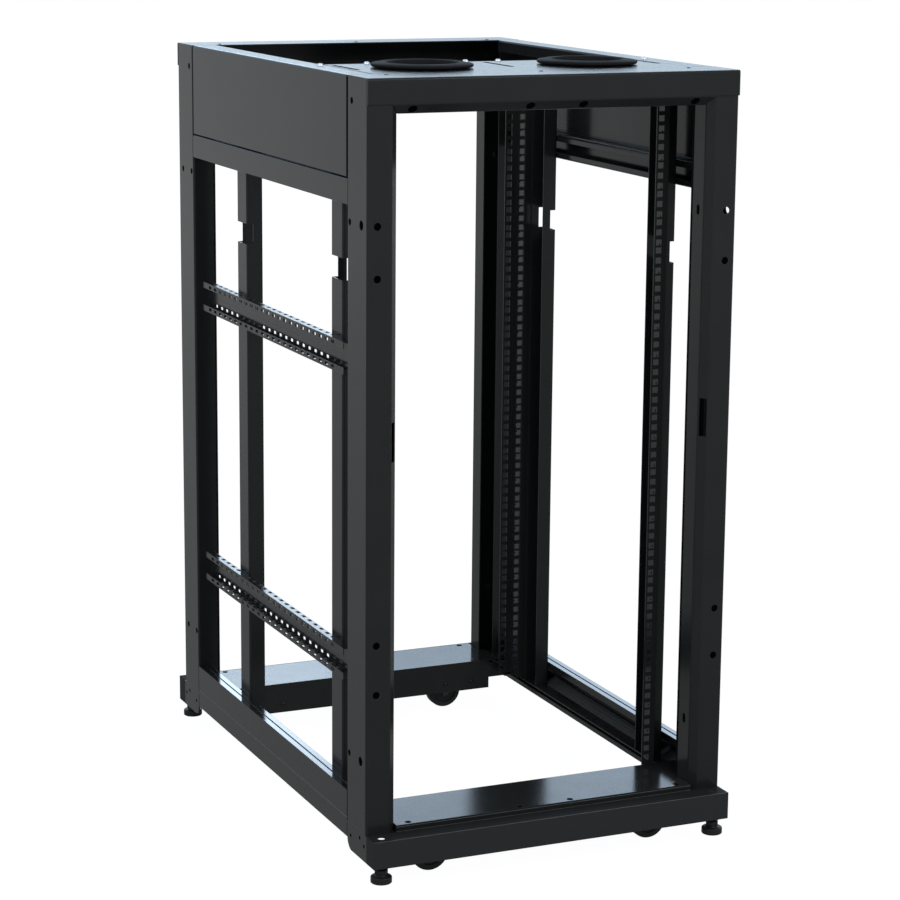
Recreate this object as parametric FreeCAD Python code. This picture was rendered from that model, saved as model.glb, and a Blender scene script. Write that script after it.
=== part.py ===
import FreeCAD
import Part
import math
import os

from FreeCAD import Vector

# Open-frame equipment rack of folded black sheet steel: a four-post frame on two base
# beams, with levelling feet and swivel casters. Millimetres, +X right, +Y back, +Z up,
# with the origin on the floor under the middle of the frame. It stands on its casters,
# and the levelling feet are screwed up clear of the floor.

# Overall sizes
FRAME_WIDTH = 609.6
FRAME_DEPTH = 876.0
FRAME_TOP = 1229.7
BASE_REACH = 31.9
SHEET = 2.0
BEND = 1.5
BUTT_GAP = 0.3

# Corner posts and the door frame that they form with the top beams
POST_SIDE = 80.0
POST_FACE = 38.8
POST_RETURN = 36.0
POST_LIP = 11.4
POST_FLANGE = 34.6
BEAM_FACE = 38.5
BEAM_TOP_FLANGE = 83.0
BEAM_LIP = 14.4
BEAM_FLANGE = 34.0
BEAM_RETURN = 15.0
MITRE_GAP = 0.2

# Holes in the posts and beams
HINGE_HOLE = 11.6
HINGE_HOLE_IN = 16.4
HINGE_PAIR = 77.0
UPPER_HINGE = 214.0
LOWER_HINGE = 844.5
SIDE_HOLE = 10.4
DOOR_SIDE_HOLE = 15.0
SIDE_HOLE_FRONT = 24.5
SIDE_HOLE_BACK = 70.0
LOWER_SIDE_HOLES = 1030.0
TOP_SIDE_HOLE_DOWN = 36.0
TOP_SIDE_HOLE_BACK = 62.8
FLANGE_HOLE_LENGTH = 16.0
FLANGE_HOLE_WIDTH = 9.0
LATCH_SLOT_TOP = 506.0
LATCH_SLOT_LENGTH = 60.0
LATCH_SLOT_WIDTH = 12.0
LIP_HOLE = 11.0
LIP_HOLE_MIDDLE = 43.5
LIP_HOLE_IN = 72.8

# Side panels and rails between the posts
PANEL_SEAM = 4.5
PANEL_HEIGHT = 150.0
PANEL_TOP_FLANGE = 42.0
PANEL_TOP_LIP = 20.0
PANEL_LEDGE = 21.0
PANEL_END = 18.0
SEAM = 1.0
UPPER_RAIL_HEIGHT = 39.5
UPPER_RAIL_LIP = 10.0
SIDE_RAIL_TOP = 136.3
SIDE_RAIL_LOW = 92.5
TRACK_STRIP = 9.4
TRACK_GROOVE = 3.0
TRACK_DROP = 12.0
SIDE_RAIL_SHELF = 48.0
SKIRT_LOW = 61.5
SKIRT_FLANGE = 40.0

# Base beams
BASE_LOW = 44.5
BASE_TOP = 87.5
BASE_CORNER = 18.0
BASE_END_BACK = 78.0
DECK_TOP = 98.0
DECK_BACK = 116.0
DECK_POST_GAP = 0.5
DECK_WING_IN = 14.8
SKIRT_IN = 59.8
SKIRT_WING_IN = 4.8
DECK_HOLE = 10.0
DECK_HOLE_IN = 10.0
ACCESS_HOLE = 12.4

# Uprights inside the frame and the rack rails on them
UPRIGHT_INSET = 21.8
UPRIGHT_WEB = 48.0
UPRIGHT_FLANGE = 25.0
FRONT_UPRIGHT = 154.0
REAR_UPRIGHT = 242.0
UPRIGHT_TOP_DOWN = 29.0
NOTCH_DOWN = 280.0
NOTCH_HEIGHT = 34.0
NOTCH_DEPTH = 11.0
RACK_UNIT = 44.45
HOLE_HEIGHTS = (6.35, 22.225, 38.1)
HOLE_SIDE = 9.5
COLUMN_SPACING = 465.1
CLEAR_OPENING = 450.0
RAIL_FACE = 20.0
RAIL_WEB = 38.0
RAIL_FOOT_EDGE = 10.0
RAIL_END_MARGIN = 5.7
RAIL_DECK_GAP = 0.5

# Perforated braces on the left side
BRACE_HEIGHT = 50.0
BRACE_DEPTH = 13.0
BRACE_LIP = 10.5
BRACE_TOPS = (828.7, 351.3)
BRACE_FRONT_GAP = 38.0
BRACE_REAR_GAP = 17.0
BRACE_PITCH = 26.25
BRACE_FRONT_MARGIN = 30.0
BRACE_REAR_MARGIN = 39.2
BRACE_SLOT_LENGTH = 10.5
BRACE_SLOT_HEIGHT = 4.5
BRACE_SLOT_UP = 6.0
BRACE_HOLE_LENGTH = 11.0
BRACE_HOLE_HEIGHT = 6.0
BRACE_HOLE_UP = 11.0

# Top plate and its cable grommets
PLATE_BACK = 288.0
PLATE_TONGUE = 30.0
PLATE_LIP = 15.0
CABLE_HOLE = 120.0
CABLE_HOLE_X = 139.5
CABLE_HOLE_Y = 191.0
GROOVE_LENGTH = 108.0
GROOVE_WIDTH = 5.0
GROOVE_FRONT = 164.0
GROOVE_IN = 51.8
GROMMET_OUTER = 157.0
GROMMET_BORE = 106.0
GROMMET_RISE = 9.0
GROMMET_DROP = 6.0
GROMMET_CLEARANCE = 0.3

# Levelling feet
FOOT_IN = 18.8
FOOT_FORWARD = 14.5
FOOT_RAISED = 17.5
FOOT_PAD = 33.0
FOOT_PAD_HEIGHT = 10.5
FOOT_PAD_EDGE = 1.5
FOOT_STUD = 12.0
FOOT_STUD_HEIGHT = 65.0
FOOT_NUT_UP = 13.0
FOOT_NUT_HEIGHT = 8.0
FOOT_NUT_ACROSS = 19.0
STUD_CLEARANCE = 0.1
FOOT_BRACKET = 3.0
FOOT_BRACKET_SIDE = 40.0

# Casters
CASTER_SIDE = 113.8
CASTER_IN = 54.0
CASTER_TRAIL = 12.0
WHEEL_DIAMETER = 62.0
WHEEL_WIDTH = 22.0
WHEEL_BEVEL = 2.5
AXLE = 8.0
AXLE_CLEARANCE = 0.1
FORK_SHEET = 2.5
FORK_SIDE_GAP = 1.5
FORK_HALF = 16.0
WHEEL_TOP_GAP = 14.6
KINGPIN = 10.0
KINGPIN_CLEARANCE = 0.1
KINGPIN_HEAD = 16.0
KINGPIN_HEAD_HEIGHT = 2.0
RACE = 28.0
RACE_GAP = 0.3
CASTER_PLATE = 3.0
CASTER_PLATE_SIDE = 58.0
CROWN_GAP = 2.4

# Positions that follow from the sizes above
SIDE = FRAME_WIDTH / 2
FRONT = -FRAME_DEPTH / 2
POST_FRONT = FRONT + SHEET
LIP_X = SIDE - POST_FACE
FLANGE_X = LIP_X - POST_LIP
FLANGE_BACK = POST_FRONT + POST_LIP + POST_FLANGE
OPENING_TOP = FRAME_TOP - BEAM_FACE - BEAM_LIP
PANEL_FRONT = FRONT + POST_SIDE + PANEL_SEAM
PANEL_LOW = FRAME_TOP - PANEL_HEIGHT
UPPER_RAIL_TOP = PANEL_LOW - SEAM
RAIL_FRONT = FRONT + POST_SIDE
UPRIGHT_X = SIDE - UPRIGHT_INSET
UPRIGHT_LOW = SIDE_RAIL_LOW + SHEET
UPRIGHT_TOP = FRAME_TOP - UPRIGHT_TOP_DOWN
UNIT_FLOOR = DECK_TOP + RAIL_DECK_GAP + RAIL_END_MARGIN
UNIT_COUNT = int((OPENING_TOP - UNIT_FLOOR) // RACK_UNIT)
BRACE_LENGTH = -2 * RAIL_FRONT - BRACE_FRONT_GAP - BRACE_REAR_GAP
BRACE_HOLES = int((BRACE_LENGTH - BRACE_FRONT_MARGIN - BRACE_REAR_MARGIN) // BRACE_PITCH) + 1
WHEEL_Z = WHEEL_DIAMETER / 2
DECK_LOW = DECK_TOP - SHEET
CROWN_HIGH = DECK_LOW - CASTER_PLATE - CROWN_GAP
CROWN_LOW = WHEEL_DIAMETER + WHEEL_TOP_GAP
FOOT_X = SIDE - FOOT_IN
FOOT_Y = FRONT - FOOT_FORWARD
CASTER_X = SIDE - CASTER_SIDE
LIP_HOLES_X = (LIP_HOLE_MIDDLE, SIDE - LIP_HOLE_IN)
EPS = 0.5


def box(x0, x1, y0, y1, z0, z1):
    """A block between two corners, in any order."""
    low = Vector(min(x0, x1), min(y0, y1), min(z0, z1))
    return Part.makeBox(abs(x1 - x0), abs(y1 - y0), abs(z1 - z0), low)


def rod(diameter, start, end):
    """A round bar between two points."""
    way = end.sub(start)
    return Part.makeCylinder(diameter / 2, way.Length, start, way)


def mirror_x(shape):
    return shape.mirror(Vector(0, 0, 0), Vector(1, 0, 0))


def mirror_y(shape):
    return shape.mirror(Vector(0, 0, 0), Vector(0, 1, 0))


def unit(a, b):
    """Direction from a to b in a section's plane."""
    length = math.hypot(b[0] - a[0], b[1] - a[1])
    return (b[0] - a[0]) / length, (b[1] - a[1]) / length


def offset_line(points, distance):
    """The same open line moved sideways to its left, with its corners kept sharp."""
    moved = []
    last = len(points) - 1
    for i, point in enumerate(points):
        before = unit(points[max(i - 1, 0)], points[max(i, 1)])
        after = unit(points[min(i, last - 1)], points[min(i + 1, last)])
        half = 1 + before[0] * after[0] + before[1] * after[1]
        shift_u = -(before[1] + after[1]) * distance / half
        shift_v = (before[0] + after[0]) * distance / half
        moved.append((point[0] + shift_u, point[1] + shift_v))
    return moved


def turn(points, i):
    """Positive where the line bends left at point i."""
    a = unit(points[i - 1], points[i])
    b = unit(points[i], points[i + 1])
    return a[0] * b[1] - a[1] * b[0]


def outline(points, radii, place):
    """A closed wire through the points, each corner rounded by its radius."""
    edges = []
    count = len(points)
    starts, ends, middles = [], [], []
    for i, point in enumerate(points):
        to_last = unit(point, points[i - 1])
        to_next = unit(point, points[(i + 1) % count])
        angle = math.acos(max(-1.0, min(1.0, to_last[0] * to_next[0] + to_last[1] * to_next[1])))
        reach = radii[i] / math.tan(angle / 2)
        depth = radii[i] / math.sin(angle / 2) - radii[i]
        middle = (to_last[0] + to_next[0], to_last[1] + to_next[1])
        size = math.hypot(*middle)
        starts.append((point[0] + to_last[0] * reach, point[1] + to_last[1] * reach))
        ends.append((point[0] + to_next[0] * reach, point[1] + to_next[1] * reach))
        middles.append((point[0] + middle[0] / size * depth, point[1] + middle[1] / size * depth))
    for i in range(count):
        if radii[i] > 0:
            arc = Part.Arc(place(*starts[i]), place(*middles[i]), place(*ends[i]))
            edges.append(arc.toShape())
        following = starts[(i + 1) % count]
        edges.append(Part.LineSegment(place(*ends[i]), place(*following)).toShape())
    return Part.Wire(edges)


def folded(points, place, along, rounded=True):
    """Sheet folded along an open line: the sheet lies to the left of the line."""
    inner = offset_line(points, SHEET)
    outer_radii, inner_radii = [], []
    for i in range(len(points)):
        if i in (0, len(points) - 1) or not rounded:
            outer_radii.append(0.0)
            inner_radii.append(0.0)
        elif turn(points, i) > 0:
            outer_radii.append(BEND + SHEET)
            inner_radii.append(BEND)
        else:
            outer_radii.append(BEND)
            inner_radii.append(BEND + SHEET)
    loop = points + inner[::-1]
    radii = outer_radii + inner_radii[::-1]
    return Part.Face(outline(loop, radii, place)).extrude(along)


def plan(z):
    return lambda u, v: Vector(u, v, z)


def side_section(x):
    return lambda u, v: Vector(x, u, v)


def front_section(y):
    return lambda u, v: Vector(u, y, v)


def slot(length, width, centre, across, along, deep):
    """A round-ended slot cutter: length runs along, and the cut goes deep on both sides."""
    normal = across
    half = (length - width) / 2
    side = normal.cross(along)
    a = centre.sub(normal * deep)
    p1 = a + along * half + side * (width / 2)
    p2 = a + along * (length / 2)
    p3 = a + along * half - side * (width / 2)
    q1 = a - along * half - side * (width / 2)
    q2 = a - along * (length / 2)
    q3 = a - along * half + side * (width / 2)
    edges = [Part.Arc(p1, p2, p3).toShape(), Part.LineSegment(p3, q1).toShape(),
             Part.Arc(q1, q2, q3).toShape(), Part.LineSegment(q3, p1).toShape()]
    return Part.Face(Part.Wire(edges)).extrude(normal * (2 * deep))


def wedge(points, y, depth):
    """A cutter with a front outline, from y to the back."""
    return Part.Face(outline(points, [0.0] * len(points), front_section(y))).extrude(Vector(0, depth, 0))


def front_left_post(door_side):
    """Folded post: return, side, face, slanted lip and inner flange. The door side has the hinge holes."""
    line = [(-SIDE + POST_RETURN, FRONT + POST_SIDE), (-SIDE, FRONT + POST_SIDE), (-SIDE, POST_FRONT),
            (-LIP_X, POST_FRONT), (-FLANGE_X, POST_FRONT + POST_LIP), (-FLANGE_X, FLANGE_BACK)]
    post = folded(line, plan(BASE_TOP), Vector(0, 0, FRAME_TOP - SHEET - BASE_TOP))
    # the lip and the inner flange end at the mitre with the top beam
    corner = FRAME_TOP - BEAM_FACE - MITRE_GAP
    deep = 2 * POST_SIDE
    mitre = wedge([(-LIP_X, corner), (-LIP_X + deep, corner - deep), (-LIP_X + deep, FRAME_TOP),
                   (-LIP_X, FRAME_TOP)], FRONT, FLANGE_BACK - FRONT + EPS)
    cutters = [mitre]
    side_holes = [(SIDE_HOLE_FRONT, UPPER_HINGE), (SIDE_HOLE_BACK, UPPER_HINGE),
                  (SIDE_HOLE_FRONT, LOWER_SIDE_HOLES), (SIDE_HOLE_BACK, LOWER_SIDE_HOLES),
                  (TOP_SIDE_HOLE_BACK, TOP_SIDE_HOLE_DOWN)]
    for back, down in side_holes:
        start = Vector(-SIDE - SHEET, FRONT + back, FRAME_TOP - down)
        diameter = DOOR_SIDE_HOLE if door_side and back == SIDE_HOLE_FRONT else SIDE_HOLE
        cutters.append(rod(diameter, start, start + Vector(4 * SHEET, 0, 0)))
    if door_side:
        hole_x = -SIDE + HINGE_HOLE_IN
        for down in (UPPER_HINGE, UPPER_HINGE + HINGE_PAIR, LOWER_HINGE, LOWER_HINGE + HINGE_PAIR):
            start = Vector(hole_x, FRONT, FRAME_TOP - down)
            cutters.append(rod(HINGE_HOLE, start, start + Vector(0, 4 * SHEET, 0)))
        for down in (UPPER_HINGE, LOWER_SIDE_HOLES):
            middle = Vector(-FLANGE_X, FLANGE_BACK - POST_FLANGE / 2, FRAME_TOP - down)
            cutters.append(slot(FLANGE_HOLE_LENGTH, FLANGE_HOLE_WIDTH, middle, Vector(1, 0, 0),
                                Vector(0, 0, 1), 2 * SHEET))
        half = LATCH_SLOT_WIDTH / 2
        latch = box(-half, half, -2 * SHEET, 2 * SHEET, 0, LATCH_SLOT_LENGTH)
        latch.rotate(Vector(0, 0, 0), Vector(0, 0, 1), 45)
        latch.translate(Vector(-LIP_X + POST_LIP / 2, POST_FRONT + POST_LIP / 2,
                               FRAME_TOP - LATCH_SLOT_TOP - LATCH_SLOT_LENGTH))
        cutters.append(latch)
    return post.cut(Part.makeCompound(cutters))


def front_top_beam():
    """Beam over the opening: top flange, face, slanted lip, inner flange and return, mitred to the posts."""
    low = FRAME_TOP - BEAM_FACE
    inside = low - BEAM_LIP
    reach = BEAM_LIP + BEAM_FLANGE
    line = [(FRONT + BEAM_TOP_FLANGE, FRAME_TOP), (FRONT, FRAME_TOP), (FRONT, low),
            (FRONT + BEAM_LIP, inside), (FRONT + reach, inside), (FRONT + reach, inside + BEAM_RETURN)]
    beam = folded(line, side_section(-SIDE), Vector(FRAME_WIDTH, 0, 0))
    cutters = []
    for way in (-1, 1):
        far = way * 2 * SIDE
        cutters.append(wedge([(way * LIP_X, low), (way * (LIP_X - 2 * reach), low - 2 * reach),
                              (far, low - 2 * reach), (far, low)], FRONT - EPS, 2 * reach))
        # behind the face nothing is left over the posts but the top flange
        cutters.append(box(way * LIP_X, far, POST_FRONT, FRONT + 2 * reach, low - EPS, FRAME_TOP - SHEET))
    through = Vector(0, 1, 1).normalize() * (3 * SHEET)
    for x in LIP_HOLES_X:
        for way in (-1, 1):
            middle = Vector(way * x, FRONT + BEAM_LIP / 2, low - BEAM_LIP / 2)
            cutters.append(rod(LIP_HOLE, middle - through, middle + through))
    return beam.cut(Part.makeCompound(cutters))


def left_top_panel():
    """Header panel between the posts: a turned-down top flange, a ledge below and a return at each end."""
    inner = -SIDE + PANEL_TOP_FLANGE
    line = [(inner, FRAME_TOP - PANEL_TOP_LIP), (inner, FRAME_TOP), (-SIDE, FRAME_TOP), (-SIDE, PANEL_LOW),
            (-SIDE + PANEL_LEDGE, PANEL_LOW)]
    panel = folded(line, front_section(PANEL_FRONT), Vector(0, -2 * PANEL_FRONT, 0))
    end = box(-SIDE + SHEET / 2, -SIDE + PANEL_END, PANEL_FRONT, PANEL_FRONT + SHEET, PANEL_LOW + SHEET / 2,
              FRAME_TOP - SHEET / 2)
    return panel.multiFuse([end, mirror_y(end)]).removeSplitter()


def left_upper_rail():
    """Channel under the header panel, open to the inside, lipped against the uprights."""
    low = UPPER_RAIL_TOP - UPPER_RAIL_HEIGHT
    inner = -UPRIGHT_X
    line = [(inner, UPPER_RAIL_TOP - UPPER_RAIL_LIP), (inner, UPPER_RAIL_TOP), (-SIDE, UPPER_RAIL_TOP),
            (-SIDE, low), (inner, low), (inner, low + UPPER_RAIL_LIP)]
    return folded(line, front_section(RAIL_FRONT), Vector(0, -2 * RAIL_FRONT, 0))


def left_lower_rail():
    """Side rail on the floor frame: two strips with a groove on top and a shelf inside."""
    groove_out = -SIDE + TRACK_STRIP
    groove_in = groove_out + TRACK_GROOVE
    inner = -UPRIGHT_X
    shelf = -SIDE + SIDE_RAIL_SHELF
    rail = folded([(inner, SIDE_RAIL_TOP - TRACK_DROP), (inner, SIDE_RAIL_TOP), (-SIDE, SIDE_RAIL_TOP),
                   (-SIDE, SIDE_RAIL_LOW), (shelf, SIDE_RAIL_LOW)],
                  front_section(RAIL_FRONT), Vector(0, -2 * RAIL_FRONT, 0), rounded=False)
    groove = box(groove_out, groove_in, RAIL_FRONT - EPS, -RAIL_FRONT + EPS, SIDE_RAIL_TOP - SHEET / 2,
                 SIDE_RAIL_TOP + EPS)
    return rail.cut(groove)


def left_skirt():
    """Closing strip under the side rail."""
    top = SIDE_RAIL_LOW - SEAM / 2
    line = [(-SIDE, top), (-SIDE, SKIRT_LOW), (-SIDE + SKIRT_FLANGE, SKIRT_LOW)]
    return folded(line, front_section(RAIL_FRONT), Vector(0, -2 * RAIL_FRONT, 0), rounded=False)


def front_base_beam():
    """Base beam: a ledge under the posts, a raised deck behind them, skirts and foot brackets."""
    front = FRONT - BASE_REACH
    ledge_back = FRONT + POST_SIDE
    riser = POST_FRONT
    deck_back = FRONT + DECK_BACK
    deck_half = FLANGE_X - DECK_POST_GAP
    deck_neck = SIDE - POST_RETURN - DECK_POST_GAP
    end_back = FRONT + BASE_END_BACK
    end = [(front, BASE_LOW), (front, BASE_TOP), (end_back, BASE_TOP), (end_back, BASE_LOW)]
    end_face = Part.Face(outline(end, [0.0, 0.0, 0.0, BASE_CORNER], side_section(-SIDE)))
    end_plate = end_face.extrude(Vector(SHEET, 0, 0))
    pieces = [end_plate, mirror_x(end_plate)]
    pieces.append(box(-SIDE, SIDE, front, front + SHEET, BASE_LOW, BASE_TOP))
    pieces.append(box(-SIDE, SIDE, front, riser + SHEET, BASE_TOP - SHEET, BASE_TOP))
    pieces.append(box(-deck_half, deck_half, riser, riser + SHEET, BASE_TOP - SHEET, DECK_TOP))
    pieces.append(box(-deck_half, deck_half, riser, deck_back, DECK_LOW, DECK_TOP))
    pieces.append(box(-deck_neck, deck_neck, FLANGE_BACK + DECK_POST_GAP, deck_back, DECK_LOW, DECK_TOP))
    wing = SIDE - DECK_WING_IN
    pieces.append(box(-wing, wing, ledge_back + DECK_POST_GAP, deck_back, DECK_LOW, DECK_TOP))
    skirt = SIDE - SKIRT_IN
    pieces.append(box(-skirt, skirt, deck_back - SHEET, deck_back, BASE_LOW, DECK_TOP))
    skirt = SIDE - SKIRT_WING_IN
    pieces.append(box(-skirt, skirt, deck_back - SHEET, deck_back, SKIRT_LOW + SHEET + SEAM,
                      SIDE_RAIL_LOW - SEAM))
    for way in (-1, 1):
        wall = way * (deck_half - SHEET)
        pieces.append(box(wall, way * SIDE, front, ledge_back, BASE_TOP - SHEET, BASE_TOP))
        pieces.append(box(wall, way * deck_half, riser, FLANGE_BACK, BASE_TOP - SHEET, DECK_TOP))
        pieces.append(box(way * SIDE, way * (SIDE - FOOT_BRACKET_SIDE), front, front + FOOT_BRACKET_SIDE,
                          BASE_LOW, BASE_LOW + FOOT_BRACKET))
    beam = pieces[0].multiFuse(pieces[1:]).removeSplitter()
    holes = []
    for way in (-1, 1):
        foot = Vector(way * FOOT_X, FOOT_Y, BASE_LOW)
        holes.append(rod(FOOT_STUD + 2 * STUD_CLEARANCE, foot - Vector(0, 0, EPS),
                         foot + Vector(0, 0, FOOT_BRACKET + EPS)))
        access = Vector(way * FOOT_X, FOOT_Y, BASE_TOP - 2 * SHEET)
        holes.append(rod(ACCESS_HOLE, access, access + Vector(0, 0, 4 * SHEET)))
        for x in LIP_HOLES_X:
            deck = Vector(way * x, FRONT + DECK_HOLE_IN, DECK_LOW - EPS)
            holes.append(rod(DECK_HOLE, deck, deck + Vector(0, 0, SHEET + 2 * EPS)))
    return beam.cut(Part.makeCompound(holes))


def left_upright(y0):
    """Channel open to the inside, notched near its top, with its front flange at y0."""
    y1 = y0 + UPRIGHT_WEB
    inner = -UPRIGHT_X + UPRIGHT_FLANGE
    line = [(inner, y1), (-UPRIGHT_X, y1), (-UPRIGHT_X, y0), (inner, y0)]
    post = folded(line, plan(UPRIGHT_LOW), Vector(0, 0, UPRIGHT_TOP - UPRIGHT_LOW))
    top = FRAME_TOP - NOTCH_DOWN
    notch = box(-UPRIGHT_X - EPS, -UPRIGHT_X + NOTCH_DEPTH, y0 - EPS, y1 + EPS, top - NOTCH_HEIGHT, top)
    return post.cut(notch)


def left_rack_rail(seat, way):
    """Rack rail with square holes; seat is the upright's face it is bolted to, way points to its face."""
    inner = -CLEAR_OPENING / 2
    web = inner - RAIL_FACE
    face = seat + way * RAIL_WEB
    line = [(inner, face), (web, face), (web, seat), (-UPRIGHT_X + RAIL_FOOT_EDGE, seat)]
    low = UNIT_FLOOR - RAIL_END_MARGIN
    high = UNIT_FLOOR + UNIT_COUNT * RACK_UNIT + RAIL_END_MARGIN
    if way > 0:
        rail = folded(line[::-1], plan(low), Vector(0, 0, high - low), rounded=False)
    else:
        rail = folded(line, plan(low), Vector(0, 0, high - low), rounded=False)
    cutters = []
    x = -COLUMN_SPACING / 2
    for count in range(UNIT_COUNT):
        for height in HOLE_HEIGHTS:
            z = UNIT_FLOOR + count * RACK_UNIT + height
            cutters.append(box(x - HOLE_SIDE / 2, x + HOLE_SIDE / 2, face - 2 * SHEET, face + 2 * SHEET,
                               z - HOLE_SIDE / 2, z + HOLE_SIDE / 2))
    return rail.cut(Part.makeCompound(cutters))


def side_cut(x, y, z, length, height):
    """Cutter for an oblong hole through a sheet that faces sideways."""
    return box(x - 2 * SHEET, x + 2 * SHEET, y - length / 2, y + length / 2, z - height / 2, z + height / 2)


def left_brace(top):
    """Perforated brace: a lipped channel on the uprights, with slots in its lips and holes in its web."""
    low = top - BRACE_HEIGHT
    web = -UPRIGHT_X
    outer = web - BRACE_DEPTH
    y0 = RAIL_FRONT + BRACE_FRONT_GAP
    y1 = -RAIL_FRONT - BRACE_REAR_GAP
    line = [(outer, low + BRACE_LIP), (outer, low), (web, low), (web, top), (outer, top),
            (outer, top - BRACE_LIP)]
    brace = folded(line, front_section(y0), Vector(0, y1 - y0, 0), rounded=False)
    cutters = []
    for i in range(BRACE_HOLES):
        y = y1 - BRACE_REAR_MARGIN - i * BRACE_PITCH
        for edge, way in ((low, 1), (top, -1)):
            slot_z = edge + way * BRACE_SLOT_UP
            hole_z = edge + way * BRACE_HOLE_UP
            cutters.append(side_cut(outer, y, slot_z, BRACE_SLOT_LENGTH, BRACE_SLOT_HEIGHT))
            cutters.append(side_cut(web, y, hole_z, BRACE_HOLE_LENGTH, BRACE_HOLE_HEIGHT))
    return brace.cut(Part.makeCompound(cutters))


def top_plate():
    """Plate over the front of the top, tongued under the beam, with two cable holes and three grooves."""
    half = SIDE - PANEL_TOP_FLANGE - BUTT_GAP
    seam = FRONT + BEAM_TOP_FLANGE + BUTT_GAP
    back = FRONT + PLATE_BACK
    pieces = [box(-half, half, seam, back, FRAME_TOP - SHEET, FRAME_TOP)]
    tongue = seam - PLATE_TONGUE
    pieces.append(box(-half, half, tongue, seam + SHEET, FRAME_TOP - 2 * SHEET, FRAME_TOP - SHEET))
    pieces.append(box(-half, half, back - SHEET, back, FRAME_TOP - PLATE_LIP, FRAME_TOP))
    plate = pieces[0].multiFuse(pieces[1:]).removeSplitter()
    cutters = []
    for way in (-1, 1):
        low = Vector(way * CABLE_HOLE_X, FRONT + CABLE_HOLE_Y, FRAME_TOP - 2 * SHEET)
        cutters.append(rod(CABLE_HOLE, low, low + Vector(0, 0, 4 * SHEET)))
    for x in (GROOVE_IN - SIDE, 0.0, SIDE - GROOVE_IN):
        middle = Vector(x, FRONT + GROOVE_FRONT + GROOVE_LENGTH / 2, FRAME_TOP)
        cutters.append(slot(GROOVE_LENGTH, GROOVE_WIDTH, middle, Vector(0, 0, 1), Vector(0, 1, 0), SHEET / 2))
    return plate.cut(Part.makeCompound(cutters))


def grommet(x):
    """Rubber ring that grips the edge of a cable hole: a bevelled rim above, a collar below."""
    bore = GROMMET_BORE / 2
    rim = GROMMET_OUTER / 2
    neck = CABLE_HOLE / 2 - GROMMET_CLEARANCE
    collar = CABLE_HOLE / 2 + GROMMET_DROP
    seat = FRAME_TOP + GROMMET_CLEARANCE
    top = FRAME_TOP + GROMMET_RISE
    bevel = GROMMET_RISE / 3
    under = FRAME_TOP - SHEET - GROMMET_CLEARANCE
    points = [(bore, under - GROMMET_DROP), (collar, under - GROMMET_DROP), (collar, under), (neck, under),
              (neck, seat), (rim, seat), (rim, top - bevel), (rim - bevel, top), (bore, top)]
    centre_y = FRONT + CABLE_HOLE_Y
    face = Part.Face(outline(points, [0.0] * len(points), lambda u, v: Vector(x + u, centre_y, v)))
    return face.revolve(Vector(x, centre_y, 0), Vector(0, 0, 1), 360)


def front_left_foot():
    """Levelling foot: a pad with a bevelled edge, a hexagon nut and a stud."""
    pad = FOOT_PAD / 2
    stud = FOOT_STUD / 2
    high = FOOT_RAISED + FOOT_PAD_HEIGHT
    tip = FOOT_RAISED + FOOT_STUD_HEIGHT
    points = [(0, FOOT_RAISED), (pad, FOOT_RAISED), (pad, high - FOOT_PAD_EDGE), (pad - FOOT_PAD_EDGE, high),
              (stud, high), (stud, tip), (0, tip)]
    face = Part.Face(outline(points, [0.0] * len(points), lambda u, v: Vector(-FOOT_X + u, FOOT_Y, v)))
    turned = face.revolve(Vector(-FOOT_X, FOOT_Y, 0), Vector(0, 0, 1), 360)
    radius = FOOT_NUT_ACROSS / math.sqrt(3)
    corners = []
    for i in range(7):
        angle = math.radians(60 * i)
        corners.append(Vector(-FOOT_X + radius * math.cos(angle), FOOT_Y + radius * math.sin(angle),
                              FOOT_RAISED + FOOT_NUT_UP))
    nut = Part.Face(Part.makePolygon(corners)).extrude(Vector(0, 0, FOOT_NUT_HEIGHT))
    return turned.fuse(nut).removeSplitter()


def caster_plate(x, y):
    """Plate under the deck with the kingpin that carries the fork."""
    half = CASTER_PLATE_SIDE / 2
    low = DECK_LOW - CASTER_PLATE
    plate = box(x - half, x + half, y - half, y + half, low, DECK_LOW)
    pin_low = CROWN_LOW - RACE_GAP
    pin = rod(KINGPIN, Vector(x, y, pin_low), Vector(x, y, low))
    head = rod(KINGPIN_HEAD, Vector(x, y, pin_low - KINGPIN_HEAD_HEIGHT), Vector(x, y, pin_low))
    return plate.multiFuse([pin, head]).removeSplitter()


def caster_fork(x, y, way):
    """Swivel fork: crown on a raised race, two legs that trail to one side, and the axle."""
    half = WHEEL_WIDTH / 2 + FORK_SIDE_GAP + FORK_SHEET
    wheel_x = x + way * CASTER_TRAIL
    crown = box(x - FORK_HALF, x + FORK_HALF, y - half, y + half, CROWN_LOW, CROWN_HIGH)
    race = rod(RACE, Vector(x, y, CROWN_LOW), Vector(x, y, CROWN_HIGH + CROWN_GAP - RACE_GAP))
    leg_line = [(x - way * FORK_HALF, CROWN_HIGH), (x + way * FORK_HALF, CROWN_HIGH),
                (wheel_x + way * AXLE, WHEEL_Z), (wheel_x + way * AXLE / 2, WHEEL_Z - AXLE),
                (wheel_x - way * AXLE / 2, WHEEL_Z - AXLE), (x - way * FORK_HALF, CROWN_LOW)]
    pieces = [race]
    for end in (-1, 1):
        face = Part.Face(outline(leg_line, [0.0] * len(leg_line), front_section(y + end * half)))
        pieces.append(face.extrude(Vector(0, -end * FORK_SHEET, 0)))
    pieces.append(rod(AXLE, Vector(wheel_x, y - half, WHEEL_Z), Vector(wheel_x, y + half, WHEEL_Z)))
    fork = crown.multiFuse(pieces).removeSplitter()
    bore = rod(KINGPIN + 2 * KINGPIN_CLEARANCE, Vector(x, y, CROWN_LOW - EPS), Vector(x, y, DECK_LOW))
    return fork.cut(bore)


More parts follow.
